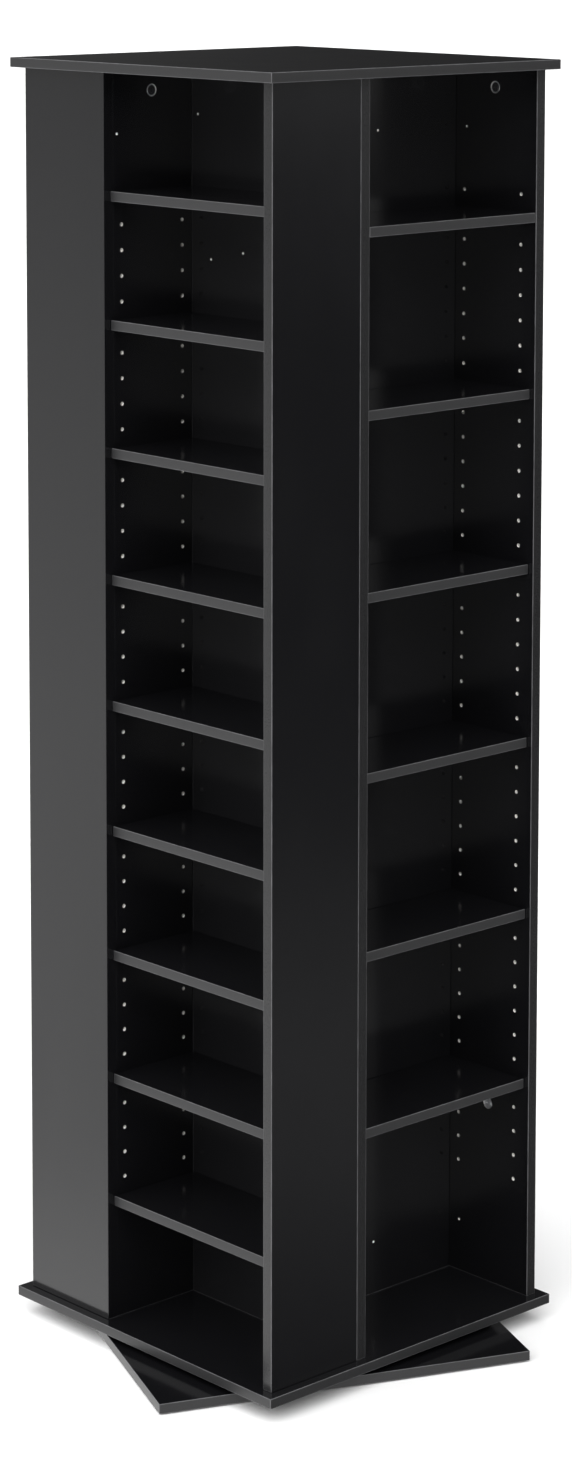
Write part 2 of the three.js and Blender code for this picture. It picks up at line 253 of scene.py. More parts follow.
class TowerFinishes(bpy.types.PropertyGroup):
    """Colours of the finishes."""

    laminate: FloatVectorProperty(
        name="Laminate", description="Colour of the satin black faces",
        subtype="COLOR", size=4, min=0.0, max=1.0, default=(0.0047, 0.0047, 0.0054, 1.0))
    # Painted light: the partitions' faces are a shade lighter than the other laminate, to paint the
    # light that falls on the disc bays' back walls
    partition_painted_light: FloatVectorProperty(
        name="Partition laminate", description="Colour of the partitions' faces, a shade lighter",
        subtype="COLOR", size=4, min=0.0, max=1.0, default=(0.0084, 0.0084, 0.0092, 1.0))
    board_tape: FloatVectorProperty(
        name="Board tape", description="Colour of the tape on the edges of the square boards",
        subtype="COLOR", size=4, min=0.0, max=1.0, default=(0.014, 0.014, 0.0148, 1.0))
    upright_tape: FloatVectorProperty(
        name="Upright tape", description="Colour of the tape on the front edges of the uprights",
        subtype="COLOR", size=4, min=0.0, max=1.0, default=(0.010, 0.010, 0.0107, 1.0))
    shelf_tape: FloatVectorProperty(
        name="Shelf tape", description="Colour of the tape on the front edges of the shelves",
        subtype="COLOR", size=4, min=0.0, max=1.0, default=(0.016, 0.016, 0.017, 1.0))
    # Partly painted highlight: the arris colour is several times lighter than the tape, for rubbing and
    # for the light that an arris catches
    rubbed: FloatVectorProperty(
        name="Rubbed arris", description="Colour of the tape where its arris is rubbed",
        subtype="COLOR", size=4, min=0.0, max=1.0, default=(0.080, 0.080, 0.084, 1.0))
    # Painted highlight: the raw board is near white, lighter than its own tone, so the lit sides of the
    # pin holes read bright
    chips: FloatVectorProperty(
        name="Particle board", description="Colour of the raw board in holes, grooves and sawn ends",
        subtype="COLOR", size=4, min=0.0, max=1.0, default=(0.96, 0.94, 0.90, 1.0))
    zinc: FloatVectorProperty(
        name="Zinc", description="Colour of the zinc-plated plates, cams and pins",
        subtype="COLOR", size=4, min=0.0, max=1.0, default=(0.55, 0.56, 0.58, 1.0))
    dark_zinc: FloatVectorProperty(
        name="Dark zinc", description="Colour of the blackened cams and screws",
        subtype="COLOR", size=4, min=0.0, max=1.0, default=(0.045, 0.045, 0.048, 1.0))
    pad: FloatVectorProperty(
        name="Floor pad", description="Colour of the pads under the base",
        subtype="COLOR", size=4, min=0.0, max=1.0, default=(0.05, 0.05, 0.05, 1.0))


class TowerStage(bpy.types.PropertyGroup):
    """Floor, light and camera."""

    floor_colour: FloatVectorProperty(
        name="Floor", description="Colour of the studio floor",
        subtype="COLOR", size=4, min=0.0, max=1.0, default=(0.90, 0.90, 0.90, 1.0))
    floor_radius: FloatProperty(
        name="Floor radius", description="Radius of the studio floor",
        default=80.0, min=5.0, max=500.0, unit="LENGTH")
    overhead: FloatProperty(
        name="Overhead light", description="Brightness of the light above", default=1.1, min=0.0)
    left: FloatProperty(
        name="Left light", description="Brightness of the wide light on the left, at eye height",
        default=0.54, min=0.0)
    left_top: FloatProperty(
        name="Left light's top", description="Brightness added to that light high up",
        default=1.6, min=0.0)
    left_foot: FloatProperty(
        name="Left light's foot", description="Brightness of that light near the floor",
        default=1.15, min=0.0)
    front: FloatProperty(
        name="Front light", description="Brightness of the light behind the camera, high up",
        default=4.3, min=0.0)
    front_foot: FloatProperty(
        name="Front light's foot",
        description="Brightness of the room behind the camera, near the floor",
        default=1.6, min=0.0)
    right: FloatProperty(
        name="Right light", description="Brightness of the room on the right, above the horizon",
        default=0.6, min=0.0)
    back_foot: FloatProperty(
        name="Back light's foot", description="Brightness of the room behind the tower, near the floor",
        default=0.6, min=0.0)
    dim: FloatProperty(
        name="Dim room", description="Brightness of the rest of the room", default=0.028, min=0.0)
    lens: FloatProperty(
        name="Lens", description="Focal length of the camera in millimetres",
        default=89.8, min=10.0, unit="CAMERA")


PIECE_GROUPS = {
    "tower_boards": TowerBoardSizes,
    "tower_hardware": TowerHardwareSizes,
    "tower_finishes": TowerFinishes,
    "tower_stage": TowerStage,
}


class Wire:
    """A socket that takes part in sums: every operator adds a Math node."""

    def __init__(self, sheet, socket):
        self.sheet = sheet
        self.socket = socket

    def _math(self, operation, *values):
        sockets = dict(enumerate(values))
        return self.sheet.node("ShaderNodeMath", {"operation": operation}, sockets)

    def __add__(self, other):
        return self._math("ADD", self, other)

    def __radd__(self, other):
        return self._math("ADD", other, self)

    def __sub__(self, other):
        return self._math("SUBTRACT", self, other)

    def __rsub__(self, other):
        return self._math("SUBTRACT", other, self)

    def __mul__(self, other):
        return self._math("MULTIPLY", self, other)

    def __rmul__(self, other):
        return self._math("MULTIPLY", other, self)

    def above(self, edge, softness):
        """0 below an edge and 1 above it, with a soft step between."""
        span = {"Value": self, "From Min": edge - softness, "From Max": edge + softness}
        return self.sheet.node("ShaderNodeMapRange", {"interpolation_type": "SMOOTHSTEP"}, span)

    def scaled(self, span, result):
        """A span of values carried over to another span, and held at its ends."""
        sockets = {"Value": self, "From Min": span[0], "From Max": span[1],
                   "To Min": result[0], "To Max": result[1]}
        return self.sheet.node("ShaderNodeMapRange", None, sockets)


class NodeSheet:
    """The nodes of one material or world."""

    def __init__(self, owner):
        owner.use_nodes = True
        self.tree = owner.node_tree
        self.tree.nodes.clear()

    def node(self, kind, settings=None, sockets=None, output=0):
        """Adds a node. Its settings come first, then the values or links of its sockets."""
        made = self.tree.nodes.new(kind)
        for name, value in (settings or {}).items():
            setattr(made, name, value)
        for name, value in (sockets or {}).items():
            if isinstance(value, Wire):
                self.tree.links.new(value.socket, made.inputs[name])
            else:
                made.inputs[name].default_value = value
        return Wire(self, made.outputs[output]) if made.outputs else None

    def place(self):
        """Place on the piece, in metres."""
        return self.node("ShaderNodeTexCoord", output="Object")

    def stretched(self, vector, factors):
        """A vector with each of its axes scaled."""
        sockets = {0: vector, 1: factors}
        return self.node("ShaderNodeVectorMath", {"operation": "MULTIPLY"}, sockets)

    def facing(self, vector, direction):
        """How far a vector points in a direction, from -1 to 1."""
        sockets = {0: vector, 1: direction}
        return self.node("ShaderNodeVectorMath", {"operation": "DOT_PRODUCT"}, sockets, output="Value")

    def noise(self, vector, scale, detail=2.0, roughness=0.5):
        """Even noise between 0 and 1."""
        sockets = {"Vector": vector, "Scale": scale, "Detail": detail, "Roughness": roughness}
        return self.node("ShaderNodeTexNoise", None, sockets)

    def blend(self, factor, first, second):
        """Two colours through a Mix node."""
        settings = {"data_type": "RGBA", "blend_type": "MIX", "clamp_factor": True}
        sockets = {MIX_FACTOR: factor, MIX_FIRST: first, MIX_SECOND: second}
        return self.node("ShaderNodeMix", settings, sockets, output=MIX_RESULT)

    def bump(self, height, strength, distance):
        """A Bump node for the Normal socket."""
        sockets = {"Height": height, "Strength": strength, "Distance": distance}
        return self.node("ShaderNodeBump", None, sockets)

    def surface(self, **sockets):
        """Principled shader into the material's output. Underscores stand for spaces."""
        named = {name.replace("_", " "): value for name, value in sockets.items()}
        shader = self.node("ShaderNodeBsdfPrincipled", None, named)
        self.node("ShaderNodeOutputMaterial", None, {"Surface": shader})


def shade(colour, factor):
    """A colour made lighter or darker."""
    return tuple(min(channel * factor, 1.0) for channel in colour[:3]) + (1.0,)


def paint_satin(sheet, tone):
    """Satin laminate: a fine pressed grain, slight mottling and a faint wave in its gloss."""
    place = sheet.place()
    upright = sheet.stretched(place, (1400.0, 1400.0, 260.0))
    grain = sheet.noise(upright, scale=1.0, detail=3.0, roughness=0.6)
    cloud = sheet.noise(place, scale=7.0, detail=3.0, roughness=0.55)
    wave = sheet.noise(place, scale=26.0, detail=1.0)
    wiped = sheet.stretched(place, (9.0, 9.0, 3.0))
    handled = sheet.noise(wiped, scale=1.0, detail=4.0, roughness=0.6)
    colour = sheet.blend(cloud * 0.6 + grain * 0.4, shade(tone, 0.75), shade(tone, 1.3))
    roughness = 0.13 + grain * 0.04 + handled.above(edge=0.56, softness=0.12) * 0.03
    relief = sheet.bump(grain * 0.25 + wave, strength=0.10, distance=0.4 * MM)
    sheet.surface(Base_Color=colour, Roughness=roughness, Normal=relief)


def paint_laminate(sheet, finishes):
    """Black laminate of the boards' faces."""
    paint_satin(sheet, finishes.laminate)


def paint_partition_with_painted_light(sheet, finishes):
    """The same laminate on the partitions, a shade lighter as painted light on the disc bays' back
    walls.
    """
    paint_satin(sheet, finishes.partition_painted_light)


def paint_tape(sheet, tone, dullness):
    """Edge tape: a dull grey-black plastic with fine streaks from the trimming knife."""
    place = sheet.place()
    streaks = sheet.noise(place, scale=900.0)
    cloud = sheet.noise(place, scale=12.0)
    colour = sheet.blend(cloud * 0.6 + streaks * 0.4, shade(tone, 0.85), shade(tone, 1.15))
    relief = sheet.bump(streaks, strength=0.12, distance=0.2 * MM)
    sheet.surface(Base_Color=colour, Roughness=dullness + streaks * 0.12, Normal=relief)


def paint_board_tape(sheet, finishes):
    """Tape on the edges of the top, bottom and base boards."""
    paint_tape(sheet, finishes.board_tape, dullness=0.36)


def paint_upright_tape(sheet, finishes):
    """Tape on the front edges of the uprights, the glossiest of the three."""
    paint_tape(sheet, finishes.upright_tape, dullness=0.22)


def paint_shelf_tape(sheet, finishes):
    """Tape on the front edges of the shelves, the dullest of the three."""
    paint_tape(sheet, finishes.shelf_tape, dullness=0.46)


def paint_rubbed_and_highlit_arris(sheet, finishes):
    """The tape's corner, rubbed a little lighter by hands and trimming, and lighter again as a painted
    highlight along the arris.
    """
    rub = sheet.noise(sheet.place(), scale=45.0, detail=4.0, roughness=0.65)
    worn = rub.above(edge=0.5, softness=0.2)
    colour = sheet.blend(worn, shade(finishes.rubbed, 0.7), shade(finishes.rubbed, 1.2))
    sheet.surface(Base_Color=colour, Roughness=0.28 + rub * 0.14)


def paint_raw_board(sheet, finishes):
    """Raw particle board: chips with darker ones between, near white as a painted highlight in the
    holes.
    """
    cells = {"Vector": sheet.place(), "Scale": 900.0}
    chips = sheet.node("ShaderNodeTexVoronoi", None, cells, output="Color")
    light = sheet.node("ShaderNodeSeparateColor", None, {"Color": chips})
    colour = sheet.blend(light, shade(finishes.chips, 0.75), shade(finishes.chips, 1.04))
    relief = sheet.bump(light, strength=0.5, distance=0.3 * MM)
    sheet.surface(Base_Color=colour, Roughness=0.85, Normal=relief)


def paint_zinc(sheet, finishes):
    """Zinc plate on pressed steel, with a cloudy sheen."""
    bloom = sheet.noise(sheet.place(), scale=160.0, detail=4.0, roughness=0.6)
    colour = sheet.blend(bloom, shade(finishes.zinc, 0.8), shade(finishes.zinc, 1.15))
    relief = sheet.bump(bloom, strength=0.1, distance=0.2 * MM)
    sheet.surface(Base_Color=colour, Metallic=0.75, Roughness=0.24 + bloom * 0.2, Normal=relief)


def paint_ball_steel(sheet, finishes):
    """Polished balls."""
    scuff = sheet.noise(sheet.place(), scale=700.0, detail=3.0)
    colour = sheet.blend(scuff, shade(finishes.zinc, 1.1), shade(finishes.zinc, 1.35))
    sheet.surface(Base_Color=colour, Metallic=1.0, Roughness=0.08 + scuff * 0.08)


def paint_dark_zinc(sheet, finishes):
    """Blackened die-cast zinc, worn brighter in places."""
    cast = sheet.noise(sheet.place(), scale=900.0, detail=3.0, roughness=0.6)
    worn = cast.above(edge=0.62, softness=0.1)
    colour = sheet.blend(worn, shade(finishes.dark_zinc, 1.0), shade(finishes.dark_zinc, 3.0))
    relief = sheet.bump(cast, strength=0.3, distance=0.2 * MM)
    sheet.surface(Base_Color=colour, Metallic=0.6, Roughness=0.36 + cast * 0.2, Normal=relief)


def paint_pad(sheet, finishes):
    """Felted plastic pad."""
    felt = sheet.noise(sheet.place(), scale=1500.0, detail=4.0, roughness=0.7)
    colour = sheet.blend(felt, shade(finishes.pad, 0.6), shade(finishes.pad, 1.5))
    relief = sheet.bump(felt, strength=0.6, distance=0.4 * MM)
    sheet.surface(Base_Color=colour, Roughness=0.75 + felt * 0.2, Normal=relief)


PAINTERS = {
    "laminate": paint_laminate,
    "partition_painted_light": paint_partition_with_painted_light,
    "board_tape": paint_board_tape,
    "upright_tape": paint_upright_tape,
    "shelf_tape": paint_shelf_tape,
    "rubbed_and_highlit_arris": paint_rubbed_and_highlit_arris,
    "raw_board": paint_raw_board,
    "zinc_plate": paint_zinc,
    "ball_steel": paint_ball_steel,
    "dark_zinc": paint_dark_zinc,
    "floor_pad": paint_pad,
}


def board_finishes(tape, faces="laminate"):
    """The finishes of a board, in the order of the numbers on its faces."""
    return (faces, tape, "rubbed_and_highlit_arris", "raw_board")


def finish(name):
    """The finish of that name, painted when it is first asked for."""
    material = bpy.data.materials.get(f"finish_{name}")
    if material is None:
        material = bpy.data.materials.new(f"finish_{name}")
        PAINTERS[name](NodeSheet(material), bpy.context.scene.tower_finishes)
    return material


def flat_axes(normal):
    """The two axes that lie in an axis-aligned face."""
    return [i for i in range(3) if normal[i] == 0]


def ring_of(bm, centre, normal, radius, sides):
    """A ring of new vertices round a centre, in the plane of an axis-aligned face."""
    across, up = flat_axes(normal)
    ring = []
    for i in range(sides):
        angle = math.tau * i / sides
        place = centre.copy()
        place[across] += radius * math.cos(angle)
        place[up] += radius * math.sin(angle)
        ring.append(bm.verts.new(place))
    return ring


def line_hole(bm, ring, centre, normal, depth, point, lining):
    """Wall and bottom of a blind hole whose mouth is a ring."""
    sides = len(ring)
    foot = [bm.verts.new(vert.co - normal * depth) for vert in ring]
    tip = bm.verts.new(centre - normal * (depth + point))
    for i in range(sides):
        j = (i + 1) % sides
        bm.faces.new((ring[i], ring[j], foot[j], foot[i])).material_index = lining
        bm.faces.new((foot[i], foot[j], tip)).material_index = lining


def from_lowest(loop):
    """The same loop of numbers, begun at its lowest one."""
    start = loop.index(min(loop))
    return loop[start:] + loop[:start]


def drill(bm, face, normal, holes, sides):
    """Opens round blind holes in a flat face. A hole is (across, up, radius, depth, point).

    The face becomes triangles, and those that would close the mouth of a hole are left out. They
    are sorted, because they come in another order each time.
    """
    across, up = flat_axes(normal)
    level = face.calc_center_median()
    corners = list(face.verts)
    verts = list(corners)
    rings = []
    for place_across, place_up, radius, depth, point in holes:
        centre = level.copy()
        centre[across] = place_across
        centre[up] = place_up
        ring = ring_of(bm, centre, normal, radius, sides)
        line_hole(bm, ring, centre, normal, depth, point, RAW)
        rings.append(range(len(verts), len(verts) + sides))
        verts.extend(ring)
    loops = [range(len(corners)), *rings]
    edges = [(loop[i - 1], loop[i]) for loop in loops for i in range(len(loop))]
    points = [Vector((vert.co[across], vert.co[up])) for vert in verts]
    owner = {index: number for number, ring in enumerate(rings) for index in ring}
    bmesh.ops.delete(bm, geom=[face], context="FACES_ONLY")
    triangles, sources = delaunay_2d_cdt(points, edges, [], 0, SAME_POINT)[2:4]
    triangles = [from_lowest([sources[i][0] for i in triangle]) for triangle in triangles]
    for indices in sorted(triangles):
        rings_touched = {owner.get(i) for i in indices}
        if len(rings_touched) == 1 and None not in rings_touched:
            continue
        bm.faces.new([verts[i] for i in indices]).material_index = LAMINATE


def face_out(bm):
    """Turns the faces of closed forms outwards."""
    bmesh.ops.recalc_face_normals(bm, faces=bm.faces[:])


def crease(bm):
    """Smooth faces that look outwards, with sharp edges where the surface turns."""
    face_out(bm)
    for face in bm.faces:
        face.smooth = True
    for edge in bm.edges:
        edge.smooth = edge.calc_face_angle(0.0) < CREASE


def side_finish(sides, taped, sawn, outer):
    """Finish of a face that looks to one side, or of an arris that looks to two or three."""
    if len(sides) == 1 and sides[0] in sawn:
        return RAW
    if any(side in taped for side in sides):
        return TAPE if len(sides) == 1 else ARRIS
    # Arrises of sawn sides inside the bays take the light arris finish: a painted highlight line along
    # the joints
    if any(side in sawn for side in sides) and not any(side in outer for side in sides):
        return ARRIS
    return LAMINATE


def new_board(low, high, taped=(), holes=None, sawn=(), outer=()):
    """A board with rounded arrises between two corners.

    Sawn sides show the raw board, and their arrises get the light arris finish, a painted highlight
    line, but for those to an outer side.
    """
    sizes = bpy.context.scene.tower_boards
    block = bmesh.new()
    corners = [block.verts.new((x, y, z)) for x in (low[0], high[0])
               for y in (low[1], high[1]) for z in (low[2], high[2])]
    for loop in BOX_FACES:
        block.faces.new([corners[i] for i in loop])
    bmesh.ops.bevel(block, geom=block.edges[:], offset=sizes.arris, segments=sizes.arris_steps,
                    profile=ROUND_BEVEL, affect="EDGES")
    face_out(block)
    # In a copy, faces that are added later come in the same order each time
    bm = block.copy()
    block.free()
    for face in bm.faces:
        sides = [name for name, axis in SIDES.items() if face.normal.dot(axis) > LEANS_TO_SIDE]
        face.material_index = side_finish(sides, taped, sawn, outer)
    for side, side_holes in (holes or {}).items():
        normal = SIDES[side]
        facing = [face for face in bm.faces if face.normal.dot(normal) > LIES_ON_SIDE]
        widest = max(facing, key=lambda face: face.calc_area())
        drill(bm, widest, normal, side_holes, sizes.hole_sides)
    crease(bm)
    return bm


def on_circle(radius, angle, height):
    """A place at an angle round the Z axis."""
    return Vector((radius * math.cos(angle), radius * math.sin(angle), height))


def turned_profile(bm, profile, steps, place, closed=False, material=0):
    """Turns a profile of radius and height pairs about a local Z axis and sets it in place."""
    rings = []
    for radius, height in profile:
        if radius < ON_AXIS:
            rings.append([bm.verts.new(place @ Vector((0, 0, height)))] * steps)
            continue
        spots = [on_circle(radius, math.tau * i / steps, height) for i in range(steps)]
        rings.append([bm.verts.new(place @ spot) for spot in spots])
    pairs = list(zip(rings, rings[1:]))
    if closed:
        pairs.append((rings[-1], rings[0]))
    for first, second in pairs:
        for i in range(steps):
            j = (i + 1) % steps
            loop = []
            for vert in (first[i], first[j], second[j], second[i]):
                if vert not in loop:
                    loop.append(vert)
            bm.faces.new(loop).material_index = material


def mesh_from(bm, name):
    """Turns finished mesh code into a mesh."""
    mesh = bpy.data.meshes.new(name)
    bm.to_mesh(mesh)
    bm.free()
    return mesh


def cut_to_raw_board(bm):
    """Readies a cutting shape whose cuts show the raw board."""
    for face in bm.faces:
        face.material_index = RAW
    face_out(bm)


def carve(body, cutter):
    """The body less the cutter, both given and returned as mesh code. Faces keep their finish."""
    objects = []
    for name, source in (("carve_body", body), ("carve_cutter", cutter)):
        carved = bpy.data.objects.new(name, mesh_from(source, name))
        bpy.context.scene.collection.objects.link(carved)
        objects.append(carved)
    solid, knife = objects
    for material in board_finishes("board_tape"):
        solid.data.materials.append(finish(material))
        knife.data.materials.append(finish(material))
    cut = solid.modifiers.new("carve", "BOOLEAN")
    cut.operation = "DIFFERENCE"
    cut.solver = "EXACT"
    cut.object = knife
    result = bmesh.new()
    result.from_object(solid, bpy.context.evaluated_depsgraph_get())
    for carved in objects:
        mesh = carved.data
        bpy.data.objects.remove(carved)
        bpy.data.meshes.remove(mesh)
    return result


def add_piece(name, bm, finishes, body, nodes=()):
    """Puts mesh code into the scene as a piece that rides on a body and stands for CAD nodes."""
    piece = bpy.data.objects.new(name, mesh_from(bm, name))
    bpy.context.scene.collection.objects.link(piece)
    for material in finishes:
        piece.data.materials.append(finish(material))
    shading = piece.modifiers.new("even_shading", "WEIGHTED_NORMAL")
    shading.keep_sharp = True
    if nodes:
        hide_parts(*nodes)
    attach(piece, body)
    return piece


def add_board(node, bm, tape, body="tower", turn=None, faces="laminate"):
    """A dressed board in place of its CAD node."""
    if turn is not None:
        bmesh.ops.transform(bm, matrix=turn, verts=bm.verts[:])
    return add_piece(f"dressed_{node}", bm, board_finishes(tape, faces), body, (node,))


def row_height(row):
    """Height of a row of pins."""
    return TOP_ROW - ROW_PITCH * row


def pin_holes(columns):
    """Every pin hole of a wall, as drillings."""
    sizes = bpy.context.scene.tower_boards
    return [(column, row_height(row), sizes.pin_hole, sizes.pin_hole_depth, DRILL_POINT)
            for column in columns for row in range(ROW_COUNT)]


# Fixings on the walls of half 1: side of the wall, place across it, and height
CAPPED_CAMS = {
    "inner_wall": (("-x", 153.5 * MM, CAM_HEIGHT),),
    "film_end_panel": (("-y", 158 * MM, CAM_HEIGHT),),
}
BARE_CAMS = {
    "film_end_panel": (("-y", 158 * MM, LOW_CAM_HEIGHT),),
}
DOWEL_MARKS = {
    "inner_wall": (
        ("-x", 210 * MM, HIGH_FIXING),
        ("+x", 77 * MM, HIGH_FIXING),
        ("+x", 77 * MM, LOW_FIXING),
    ),
    "film_end_panel": (
        ("-y", 108 * MM, HIGH_FIXING),
        ("-y", 107 * MM, LOW_FIXING),
    ),
    "partition": (
        ("-y", -64.6 * MM, 1566 * MM),
        ("-y", -40 * MM, 1385 * MM),
        ("-y", 20 * MM, 1397 * MM),
    ),
}


def wall_holes(wall, side, columns):
    """All drillings of a wall, by its sides: pin holes, cam pockets and dowel marks."""
    hardware = bpy.context.scene.tower_hardware
    holes = {side: pin_holes(columns)}
    for place_side, across, height in (*CAPPED_CAMS.get(wall, ()), *BARE_CAMS.get(wall, ())):
        pocket = (across, height, hardware.cam_radius + POCKET_PLAY, hardware.cam_recess, 0.0)
        holes.setdefault(place_side, []).append(pocket)
    for place_side, across, height in DOWEL_MARKS.get(wall, ()):
        mark = (across, height, hardware.dowel_mark, DOWEL_MARK_DEPTH, DOWEL_MARK_POINT)
        holes.setdefault(place_side, []).append(mark)
    return holes


# Plan corners of each wall of half 1
WALL_BOXES = {
    "partition": ((DISC_LEFT + SEAM, DISC_BACK), (CASE_HALF, FILM_START)),
    "film_end_panel": ((-DISC_LEFT, FILM_END), (CASE_HALF, CASE_HALF)),
    "disc_side_panel": ((DISC_RIGHT, -CASE_HALF), (CASE_HALF, DISC_BACK - SEAM)),
    "inner_wall": ((-DISC_LEFT, FILM_START + SEAM), (FILM_BACK, FILM_END - SEAM)),
}
# Sides of each wall that carry edge tape, that butt on another wall, and that look outwards
WALL_SIDES = {
    "partition": (("+x",), ("-x",), ()),
    "film_end_panel": (("+x",), (), ("+y",)),
    "disc_side_panel": (("-y",), ("+y",), ("+x",)),
    "inner_wall": ((), ("-y",), ()),
}
# Finish of the walls that don't have the common laminate: the partitions' laminate is a shade lighter,
# as painted light
WALL_LAMINATE = {"partition": "partition_painted_light"}
# The side of each wall that has the pin holes, and their columns
DRILLED_SIDES = {
    "partition": ("+y", FILM_COLUMNS),
    "film_end_panel": ("-y", FILM_COLUMNS),
    "disc_side_panel": ("-x", DISC_COLUMNS),
    "inner_wall": ("-x", tuple(-y for y in DISC_COLUMNS)),
}


class TowerBuildUprights(bpy.types.Operator):
    """Builds the eight drilled walls of the case."""

    bl_idname = "tower.build_uprights"
    bl_label = "Uprights"

    def execute(self, context):
        for half in HALVES:
            for wall, (side, columns) in DRILLED_SIDES.items():
                node = f"{wall}_{half}"
                foot, head = (corner.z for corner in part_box(node))
                low, high = WALL_BOXES[wall]
                taped, butted, outer = WALL_SIDES[wall]
                holes = wall_holes(wall, side, columns)
                sawn = ("-z", "+z", *butted)
                bm = new_board((*low, foot), (*high, head), taped, holes, sawn, outer)
                add_board(node, bm, "upright_tape", turn=HALF_TURN[half],
                          faces=WALL_LAMINATE.get(wall, "laminate"))
        return {"FINISHED"}


class TowerBuildEndBoards(bpy.types.Operator):
    """Builds the square top and bottom boards of the case."""

    bl_idname = "tower.build_end_boards"
    bl_label = "Top and bottom boards"

    def execute(self, context):
        for node in ("top_board", "bottom_board"):
            low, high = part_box(node)
            add_board(node, new_board(low, high, ALL_ROUND), "board_tape")
        return {"FINISHED"}


def add_groove(bm, start, length, radius):
    """A round-topped channel along X, open at the foot, that a pin lies in."""
    angles = [math.pi * i / GROOVE_STEPS for i in range(GROOVE_STEPS + 1)]
    arc = [(radius * math.cos(angle), radius * math.sin(angle)) for angle in angles]
    mouth = -2 * radius
    outline = [(radius, mouth), *arc, (-radius, mouth)]
    ends = []
    for x in (start.x, start.x + length):
        ends.append([bm.verts.new((x, start.y + y, start.z + z)) for y, z in outline])
    near, far = ends
    bm.faces.new(near)
    bm.faces.new(reversed(far))
    for i in range(len(outline)):
        j = (i + 1) % len(outline)
        bm.faces.new((near[j], near[i], far[i], far[j]))


def shelf_board(width, depth, pin_depths):
    """A shelf in its own frame: X along its front edge, Y to its back. Grooves take the pins."""
    hardware = bpy.context.scene.tower_hardware
    low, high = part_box("disc_shelf_1_1")
    shelf = new_board((0, 0, 0), (width, depth, high.z - low.z), ("-y",))
    grooves = bmesh.new()
    length = hardware.pin_length / 2 + GROOVE_BEYOND_HALF_PIN
    for pin_depth in pin_depths:
        for start in (-OVERRUN, width + OVERRUN - length):
            at = Vector((start, pin_depth, PIN_ABOVE_SHELF_FOOT))
            add_groove(grooves, at, length, hardware.pin_radius + GROOVE_PLAY)
    cut_to_raw_board(grooves)
    carved = carve(shelf, grooves)
    crease(carved)
    return carved


def set_shelf(kind, number, template, corner, turn):
    """Puts a shelf on its row, in both halves."""
    height = row_height(SHELF_ROWS[kind][number]) - PIN_ABOVE_SHELF_FOOT
    for half in HALVES:
        place = HALF_TURN[half] @ Matrix.Translation((*corner, height)) @ turn
        add_board(f"{kind}_shelf_{half}_{number + 1}", template.copy(), "shelf_tape", turn=place)


class TowerBuildDiscShelves(bpy.types.Operator):
    """Builds the shelves of the two disc bays."""

    bl_idname = "tower.build_disc_shelves"
    bl_label = "Disc shelves"

    def execute(self, context):
        front = -CASE_HALF + context.scene.tower_boards.disc_setback
        width = DISC_RIGHT - DISC_LEFT - 2 * SHELF_GAP
        depth = DISC_BACK - front - SHELF_GAP
        shelf = shelf_board(width, depth, [column - front for column in DISC_COLUMNS])
        for number in range(len(SHELF_ROWS["disc"])):
            set_shelf("disc", number, shelf, (DISC_LEFT + SHELF_GAP, front), UNTURNED)
        shelf.free()
        return {"FINISHED"}


class TowerBuildFilmShelves(bpy.types.Operator):
    """Builds the shelves of the two film bays. The highest stands nearly flush with the case."""

    bl_idname = "tower.build_film_shelves"
    bl_label = "Film shelves"

    def execute(self, context):
        boards = context.scene.tower_boards
        width = FILM_END - FILM_START - 2 * SHELF_GAP
        turn = Matrix.Rotation(math.pi / 2, 4, "Z")
        for number in range(len(SHELF_ROWS["film"])):
            front = CASE_HALF - (boards.film_setback if number else boards.top_film_setback)
            depth = front - FILM_BACK - SHELF_GAP
            shelf = shelf_board(width, depth, [front - column for column in FILM_COLUMNS])
            set_shelf("film", number, shelf, (front, FILM_START + SHELF_GAP), turn)
            shelf.free()
        return {"FINISHED"}


def add_pin(bm, place):
    """A pin with rounded ends, its middle at the place and its length along local Z."""
    hardware = bpy.context.scene.tower_hardware
    radius = hardware.pin_radius
    half = hardware.pin_length / 2
    nose = radius / 4
    profile = ((0, -half), (radius - nose, -half), (radius, -half + nose),
               (radius, half - nose), (radius - nose, half), (0, half))
    turned_profile(bm, profile, PIN_STEPS, place)


class TowerBuildShelfPins(bpy.types.Operator):
    """Builds the steel pins that the shelves lie on."""

    bl_idname = "tower.build_shelf_pins"
    bl_label = "Shelf pins"

    def execute(self, context):
        along_x = Matrix.Rotation(math.pi / 2, 4, "Y")
        along_y = Matrix.Rotation(math.pi / 2, 4, "X")
        bays = (
            ("disc", DISC_COLUMNS, (DISC_LEFT, DISC_RIGHT), along_x),
            ("film", FILM_COLUMNS, (FILM_START, FILM_END), along_y),
        )
        for kind, columns, walls, turn in bays:
            for half in HALVES:
                bm = bmesh.new()
                for row in SHELF_ROWS[kind]:
                    for column in columns:
                        for wall in walls:
                            across = (wall, column) if turn is along_x else (column, wall)
                            place = Matrix.Translation((*across, row_height(row))) @ turn
                            add_pin(bm, HALF_TURN[half] @ place)
                crease(bm)
                add_piece(f"{kind}_shelf_pins_{half}", bm, ("zinc_plate",), "tower")
        return {"FINISHED"}


